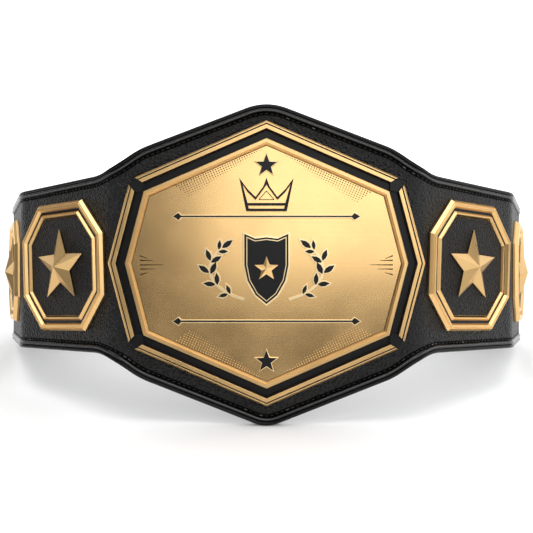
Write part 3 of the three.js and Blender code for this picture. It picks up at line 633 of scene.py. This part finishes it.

# The face is brushed, and a dark gold ring at the foot of its rim is painted shade in that corner
FACE_DEPTH = 0.0047
PAINTED_SHADE_WIDTH = 0.0005
face = casting("face_plate", [polished_gold, brushed_gold, painted_shade_gold])
work = bmesh.new()
work.from_mesh(face.data)
sunk = faces_at(work.faces, lambda one: one.calc_center_median(), FACE_DEPTH - 0.0002, FACE_DEPTH + 0.0002)
# The inset ring is the painted shade at the rim's foot
foot = bmesh.ops.inset_region(work, faces=sunk, thickness=PAINTED_SHADE_WIDTH, use_even_offset=True)["faces"]
for one in sunk:
    one.material_index = 1
for one in foot:
    one.material_index = 2
work.to_mesh(face.data)
work.free()
face.data.update()

# Raised relief on the face
# Stars, crown, arrow bars, shield and laurels are cast with the gold showing as a thin outline, and black
# enamel fills their tops.
# # Their gold is paler than the plate's, a painted highlight.
RELIEF_EDGE = 0.00022
TOP_REACH = 0.0001
BAR_BORDER = 0.0004
LINE_INSET = 0.0014
LINE_WIDTH = 0.0006


def relief(name, border=0, line_inset=0):
    """A casting whose highest faces are enamelled, inside a border of gold made paler as a painted highlight.
    A gold line is laid in where an inset is given for it. The laurels' stems are lower than their leaves, and
    so stay gold."""
    piece = casting(name, [painted_highlight_gold, black_enamel], RELIEF_EDGE)
    mesh = piece.data
    top = max(depth_of(vertex.co) for vertex in mesh.vertices)
    work = bmesh.new()
    work.from_mesh(mesh)
    tops = [one for one in work.faces if one.normal.dot(out_of_plate) > 0.99
            and depth_of(one.calc_center_median()) > top - TOP_REACH]
    if border:
        bmesh.ops.inset_region(work, faces=tops, thickness=border, use_even_offset=True)
    for one in tops:
        one.material_index = 1
    if line_inset:
        bmesh.ops.inset_region(work, faces=tops, thickness=line_inset, use_even_offset=True)
        line = bmesh.ops.inset_region(work, faces=tops, thickness=LINE_WIDTH, use_even_offset=True)
        for one in line["faces"]:
            one.material_index = 0
    work.to_mesh(mesh)
    work.free()
    mesh.update()
    return top


# Paler gold on the reliefs' sides, outlines and lines: a painted highlight
painted_highlight_gold = gold_finish("painted_highlight_gold", 0.3, 0, (1, 0.78, 0.45))
for name in ("star_top", "star_bottom", "laurel_left", "laurel_right"):
    relief(name)
shield_top = relief("shield", line_inset=LINE_INSET)
relief("crown")
for name in ("bar_top", "bar_bottom"):
    relief(name, border=BAR_BORDER)

# Fine marks on the face
# A small faceted star on the shield, an engraved peak inside the crown, fans of short lines that point in from
# the sides, and
# # fields of tiny dots that fade in from the rim. All are gold struck up from the face. The peak, the fans and
# the upper dots are
# # coloured near black as painted shade of engraving, the lower dots are frosted and paler as a painted
# highlight, and the star is
# # polished. All but the star stand less than half a millimetre off it.
DEVICE_Z = -0.00415
DEVICE_RADIUS = 0.0095
DEVICE_HEIGHT = 0.0016
DEVICE_WAIST = 0.42
MARK_DEPTH = FACE_DEPTH + 0.00012
DOT_PITCH = 0.002
DOT_ROWS = 7
DOT_RADIUS = 0.00055
ROW_PITCH = 0.00174
# Gap from the rim's foot to the first row, and how much later each next row starts and sooner it ends
RIM_GAP = 0.0016
ROW_LATER = 0.001
ROW_SOONER = 0.009
# How much smaller the last row's dots are, and over how many dots each row fades to what share at its end
ROW_FADE = 0.4
FADE_COUNT = 12
END_SHARE = 0.45


def on_plate(x, z, depth):
    return Vector((x, LEATHER_FACE - depth, z))


def faceted_star(name, z, radius, low, high, material):
    points = []
    for i in range(10):
        angle = math.pi / 2 + i * math.pi / 5
        reach = radius if i % 2 == 0 else radius * DEVICE_WAIST
        points.append(on_plate(reach * math.cos(angle), z + reach * math.sin(angle), low))
    faces = [(i, (i + 1) % 10, 10) for i in range(10)] + [tuple(reversed(range(10)))]
    piece = mesh_object(name, points + [on_plate(0, z, high)], faces, [material])
    face_outwards(piece)
    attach(piece, "root")


def strokes(name, rows, material):
    """Thin tapered bars on the face, each from one end and width to the other."""
    points, faces = [], []
    for (x0, z0, wide0), (x1, z1, wide1) in rows:
        across = Vector((z0 - z1, x1 - x0)).normalized() / 2
        first = len(points)
        for depth in (FACE_DEPTH - 0.0001, MARK_DEPTH):
            for x, z, wide in ((x0, z0, wide0), (x1, z1, wide1)):
                points.append(on_plate(x - across.x * wide, z - across.y * wide, depth))
                points.append(on_plate(x + across.x * wide, z + across.y * wide, depth))
        for face in ((0, 1, 3, 2), (4, 6, 7, 5), (0, 4, 5, 1), (2, 3, 7, 6), (0, 2, 6, 4), (1, 5, 7, 3)):
            faces.append([first + corner for corner in face])
    piece = mesh_object(name, points, faces, [material])
    face_outwards(piece)
    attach(piece, "root")


def dot_group():
    group, given = node_group("dots_on_points", {
        "Radius": "Float", "Height": "Float", "Material": "Material"})
    dot = add_node(group, "GeometryNodeMeshCone", {
        "Vertices": 7, "Radius Top": 0.5, "Radius Bottom": 1.0, "Depth": 1.0})
    size = add_node(group, "ShaderNodeCombineXYZ", {
        "X": given["Radius"], "Y": given["Radius"], "Z": given["Height"]})
    sized = add_node(group, "GeometryNodeTransform", {"Geometry": dot.outputs[0], "Scale": size.outputs[0]})
    out = named_value(group, "out", "FLOAT_VECTOR")
    upright = add_node(group, "FunctionNodeAlignRotationToVector", {"Vector": out}, axis="Z")
    share = named_value(group, "size", "FLOAT")
    scale = add_node(group, "ShaderNodeCombineXYZ", {"X": share, "Y": share, "Z": 1.0})
    placed = add_node(group, "GeometryNodeInstanceOnPoints", {
        "Points": given["Geometry"], "Instance": sized.outputs[0], "Rotation": upright.outputs[0],
        "Scale": scale.outputs[0]})
    end_group(group, placed.outputs[0], given["Material"])
    return group


def dot_field(name, corner, end, start_share, end_share, height, material):
    """Rows of dots inside one edge of the rim, which runs from corner to end. They fade inwards."""
    edge = end - corner
    along = edge.normalized()
    inwards = Vector((-along.y, along.x))
    if inwards.dot(-corner) < 0:
        inwards.negate()
    points, sizes = [], []
    for row in range(DOT_ROWS):
        depth = RIM_FOOT + RIM_GAP + row * ROW_PITCH
        first = edge.length * start_share + row * ROW_LATER + (row % 2) * DOT_PITCH / 2
        last = edge.length * end_share - row * ROW_SOONER
        count = int((last - first) / DOT_PITCH)
        for i in range(count):
            at = corner + along * (first + i * DOT_PITCH) + inwards * depth
            points.append(on_plate(at.x, at.y, FACE_DEPTH))
            sizes.append((1 - ROW_FADE * row / DOT_ROWS) * min(1, END_SHARE + (count - i) / FADE_COUNT))
    piece = mesh_object(name, points, [], [])
    keep_values(piece.data, "out", "FLOAT_VECTOR", list(out_of_plate) * len(points))
    keep_values(piece.data, "size", "FLOAT", sizes)
    run_group(piece, dot_group(), {"Radius": DOT_RADIUS, "Height": height, "Material": material})
    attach(piece, "root")


faceted_star("shield_star", DEVICE_Z, DEVICE_RADIUS, shield_top + 0.00005, shield_top + DEVICE_HEIGHT,
             polished_gold)

# Rows of height at the outer end, height at the inner end, and length
FAN = [(0.0058, 0.0036, 0.0058), (0.0023, 0.0022, 0.0098), (-0.0011, -0.0011, 0.0176),
       (-0.0043, -0.0042, 0.0115), (-0.0086, -0.0069, 0.006)]
FAN_FOOT = 0.0955
fans = []
for side in (-1, 1):
    for outer_z, inner_z, length in FAN:
        fans.append(((side * FAN_FOOT, outer_z, 0.001), (side * (FAN_FOOT - length), inner_z, 0.0003)))
# Near-black gold for the engraved marks: painted shade in place of the engraving's hollows
painted_shade_engraving = gold_finish("painted_shade_engraving", 0.45, 0.1, (0.07, 0.042, 0.018))
strokes("side_fans", fans, painted_shade_engraving)
# Across, height and width of the peak's three corners
PEAK = [(-0.0058, 0.0482, 0.0006), (0, 0.0548, 0.0006), (0.0058, 0.0482, 0.0006)]
strokes("crown_peak", [(PEAK[1], PEAK[0]), (PEAK[1], PEAK[2]), (PEAK[0], PEAK[2])], painted_shade_engraving)

# Paler frosted gold for the lower dots: a painted highlight
frosted_highlight_gold = gold_finish("frosted_highlight_gold", 0.5, 0, (0.96, 0.68, 0.33))
# Corners of the main plate, and how far in from its outline the rim ends
PLATE_TOP = Vector((0, 0.1083))
PLATE_CORNER = Vector((0.1034, 0.0634))
RIM_FOOT = 0.0171
for side, first, last in ((-1, 0.27, 0.92), (1, 0.17, 0.82)):
    upper = Vector((side * PLATE_CORNER.x, PLATE_CORNER.y))
    lower = Vector((side * PLATE_CORNER.x, -PLATE_CORNER.y))
    end = "left" if side < 0 else "right"
    dot_field("dots_top_" + end, upper, PLATE_TOP, first, last, 0.0003, painted_shade_engraving)
    dot_field("dots_bottom_" + end, lower, -PLATE_TOP, first, last, 0.0005, frosted_highlight_gold)

# Side plates
# Four smaller gold castings, each with a framed rim, a dark groove, an inner ring and a leather panel let
# into the middle, with a faceted star screwed over it.
grained_panel = leather_finish("grained_panel", 0.0012, False)
# The stars' gold is darker than the plates' gold: painted shade
shaded_satin_gold = gold_finish("shaded_satin_gold", 0.3, 0.12, (0.7, 0.46, 0.2))
GROOVE_LEVEL = 0.0024
FIELD_EDGE = 0.0004
STAR_EDGE = 0.00015


def black_groove(plate):
    """Fills the flat groove between a side plate's frame and ring with black enamel."""
    outwards = -max(plate.data.polygons, key=lambda polygon: polygon.area).normal
    back = min(vertex.co.dot(outwards) for vertex in plate.data.vertices)
    for polygon in plate.data.polygons:
        level = polygon.center.dot(outwards) - back
        if abs(level - GROOVE_LEVEL) < 0.0002 and polygon.normal.dot(outwards) > 0.9:
            polygon.material_index = 1


for place_name in ("inner_left", "inner_right", "outer_left", "outer_right"):
    plate = casting("side_plate_" + place_name, [polished_gold, black_enamel])
    black_groove(plate)
    casting("side_field_" + place_name, [grained_panel], FIELD_EDGE)
    casting("side_star_" + place_name, [shaded_satin_gold], STAR_EDGE, 8)

# Fasteners
# Twelve socket-head screws come through the leather from the lining into the castings, and six snap studs
# hold the lapped ends. All are turned steel.
HEAD_RADIUS = 0.006
HEAD_HEIGHT = 0.0016
SHANK_RADIUS = 0.0022
SOCKET_RADIUS = 0.0025
SOCKET_TURN = 2.4
SNAP_RADIUS = 0.0075
SNAP_CAP = 0.003
FLANGE_THICK = 0.0014
ROUND_STEPS = 24


def steel_finish(name):
    material, tree, shader = new_material(name)
    at = add_node(tree, "ShaderNodeTexCoord").outputs["Object"]
    broad = noise(tree, at, 160, 3)
    set_tint(tree, shader, broad, (0.36, 0.36, 0.375), (0.56, 0.56, 0.575))
    tree.links.new(mapped(tree, broad, 0, 1, 0.22, 0.42), shader.inputs["Roughness"])
    set_bump(tree, shader, noise(tree, at, 1500, 3), 0.1, 0.00005)
    shader.inputs["Metallic"].default_value = 1
    return material


def turned(rows, socket=()):
    """Sections of a turned piece along its axis, ended by a hexagonal socket if rows of one are given."""
    angles = [2 * math.pi * i / ROUND_STEPS for i in range(ROUND_STEPS)]
    sections = []
    for height, radius in rows:
        sections.append([(radius * math.cos(a), radius * math.sin(a), height) for a in angles])
    for height, radius in socket:
        section = []
        for a in angles:
            reach = radius * math.cos(math.pi / 6) / math.cos((a + math.pi / 6) % (math.pi / 3) - math.pi / 6)
            section.append((reach * math.cos(a), reach * math.sin(a), height))
        sections.append(section)
    return sections


def stamp_group():
    group, given = node_group("stamp_on_points", {"Stamp": "Object", "Material": "Material"})
    stamp = add_node(group, "GeometryNodeObjectInfo", {"Object": given["Stamp"]})
    out, along = [named_value(group, name, "FLOAT_VECTOR") for name in ("out", "along")]
    placed = add_node(group, "GeometryNodeInstanceOnPoints", {
        "Points": given["Geometry"], "Instance": stamp.outputs["Geometry"],
        "Rotation": facing(group, out, along)})
    end_group(group, placed.outputs[0], given["Material"])
    return group


def axis_of(node):
    """The head's outer end, the outward direction and the length of a turned CAD piece."""
    points = [vertex.co.copy() for vertex in node.data.vertices]
    out = max(node.data.polygons, key=lambda polygon: polygon.area).normal.copy()
    middle = sum(points, Vector()) / len(points)
    widest = max(points, key=lambda point: (point - middle - out * (point - middle).dot(out)).length)
    if (widest - middle).dot(out) < 0:
        out.negate()
    ends = [point.dot(out) for point in points]
    return middle + out * (max(ends) - middle.dot(out)), out, max(ends) - min(ends)


def fastened(name, prefix, stamp_sections):
    """One mesh of all the fasteners of a kind, each in the place of its CAD piece."""
    replaced = [node_name for node_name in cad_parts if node_name.startswith(prefix)]
    axes = [axis_of(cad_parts[node_name]) for node_name in replaced]
    points, faces = lofted(stamp_sections(axes[0][2]))
    stamp_mesh = bpy.data.meshes.new(name + "_stamp")
    stamp_mesh.from_pydata(points, [], faces)
    stamp = bpy.data.objects.new(name + "_stamp", stamp_mesh)
    scene.collection.objects.link(stamp)
    face_outwards(stamp)
    seats = bpy.data.meshes.new(name)
    seats.from_pydata([end for end, _, _ in axes], [], [])
    alongs = []
    for number in range(len(axes)):
        alongs += [math.cos(number * SOCKET_TURN), 0.2, math.sin(number * SOCKET_TURN)]
    keep_values(seats, "out", "FLOAT_VECTOR", [value for _, out, _ in axes for value in out])
    keep_values(seats, "along", "FLOAT_VECTOR", alongs)
    piece = bpy.data.objects.new(name, seats)
    scene.collection.objects.link(piece)
    run_group(piece, stamp_group(), {"Stamp": stamp, "Material": turned_steel})
    bpy.data.objects.remove(stamp)
    soften(piece, 30)
    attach(piece, "root")
    for node_name in replaced:
        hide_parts(node_name)


def screw_sections(length):
    """A socket-head screw, from the end of its shank up to its head's outer end at height 0."""
    foot = -HEAD_HEIGHT
    shank = [(-length, SHANK_RADIUS), (foot, SHANK_RADIUS)]
    head = [(foot, HEAD_RADIUS - 0.0002), (foot + 0.0002, HEAD_RADIUS), (-0.00055, HEAD_RADIUS)]
    crown = [(-0.0002, HEAD_RADIUS * 0.93), (-0.00002, HEAD_RADIUS * 0.8), (0, HEAD_RADIUS * 0.62)]
    socket = [(0, SOCKET_RADIUS), (-0.0002, SOCKET_RADIUS * 0.94), (-0.001, SOCKET_RADIUS * 0.94)]
    return turned(shank + head + crown, socket)


def snap_sections(length):
    """A snap stud, from its flange in the lining up to the top of its domed cap at height 0."""
    end = -length
    foot = -SNAP_CAP
    flange = [(end, SNAP_RADIUS * 0.76), (end + 0.0003, SNAP_RADIUS * 0.8),
              (end + FLANGE_THICK, SNAP_RADIUS * 0.8)]
    post = [(end + FLANGE_THICK, SHANK_RADIUS), (foot, SHANK_RADIUS)]
    rim = [(foot, SNAP_RADIUS * 0.97), (foot + 0.0003, SNAP_RADIUS), (foot + 0.0009, SNAP_RADIUS),
           (foot + 0.00125, SNAP_RADIUS * 0.95)]
    dome = [(foot + 0.0012, SNAP_RADIUS * 0.88), (foot + 0.0019, SNAP_RADIUS * 0.74),
            (-0.0005, SNAP_RADIUS * 0.5), (-0.0001, SNAP_RADIUS * 0.25), (0, SNAP_RADIUS * 0.06)]
    return turned(flange + post + rim + dome)


turned_steel = steel_finish("turned_steel")
fastened("plate_screws", "plate_screw", screw_sections)
fastened("snap_studs", "snap_", snap_sections)

# Stage
# A plain pale floor of paper that curves up behind, six soft boxes and a pale room. The paper glows further
# back, so that it ends in white.
FLOOR_HALF_WIDTH = 6
# Rows of distance behind the belt, and height
FLOOR_CURVE = [(-4, 0), (1.5, 0), (2.2, 0.12), (2.8, 0.5), (3.1, 1.1), (3.2, 6)]
rows = len(FLOOR_CURVE)
floor_points = [(x, y, z) for x in (-FLOOR_HALF_WIDTH, FLOOR_HALF_WIDTH) for y, z in FLOOR_CURVE]
floor_mesh = bpy.data.meshes.new("floor")
floor_mesh.from_pydata(floor_points, [], [(i, i + rows, i + rows + 1, i + 1) for i in range(rows - 1)])
floor = bpy.data.objects.new("floor", floor_mesh)
scene.collection.objects.link(floor)
floor_material, floor_tree, floor_shader = new_material("pale_floor")
floor_shader.inputs["Base Color"].default_value = (0.92, 0.92, 0.92, 1)
floor_shader.inputs["Roughness"].default_value = 0.7
floor_shader.inputs["Specular IOR Level"].default_value = 0.1
floor_at = add_node(floor_tree, "ShaderNodeTexCoord").outputs["Object"]
floor_split = add_node(floor_tree, "ShaderNodeSeparateXYZ", {"Vector": floor_at})
glow = mapped(floor_tree, floor_split.outputs["Y"], 0.7, 1.8, 0, 1)
floor_shader.inputs["Emission Color"].default_value = (1, 1, 1, 1)
floor_tree.links.new(glow, floor_shader.inputs["Emission Strength"])
floor_mesh.materials.append(floor_material)
floor_mesh.polygons.foreach_set("use_smooth", [True] * (rows - 1))

world = bpy.data.worlds.new("room")
world.use_nodes = True
world.node_tree.nodes["Background"].inputs["Color"].default_value = (0.97, 0.98, 1, 1)
world.node_tree.nodes["Background"].inputs["Strength"].default_value = 0.17
scene.world = world


def soft_box(name, azimuth, elevation, distance, size, radiance):
    """A soft box that faces the belt. Azimuth 0 is on the camera's side, and it grows to the right."""
    target = Vector((0, 0, 0.12))
    a, e = math.radians(azimuth), math.radians(elevation)
    at = target + distance * Vector((math.cos(e) * math.sin(a), -math.cos(e) * math.cos(a), math.sin(e)))
    light = bpy.data.lights.new(name, "AREA")
    light.shape = "RECTANGLE"
    light.size, light.size_y = size
    light.energy = radiance * math.pi * size[0] * size[1]
    lamp = bpy.data.objects.new(name, light)
    lamp.location = at
    lamp.rotation_euler = (target - at).to_track_quat("-Z", "Y").to_euler()
    scene.collection.objects.link(lamp)


soft_box("overhead", 0, 92, 1.8, (2.6, 1.8), 2.6)
soft_box("key", 12.6, 30.7, 1.7, (1.12, 1.24), 1.7)
soft_box("left_fill", -100, 25, 1.9, (1.0, 1.0), 0.32)
soft_box("left_kick", -41, 32, 1.7, (0.5, 0.5), 0.6)
soft_box("bend_light", 58, 12, 1.7, (0.9, 0.75), 1.4)
soft_box("right_fill", 90, 24, 1.9, (1.6, 1.3), 1.35)
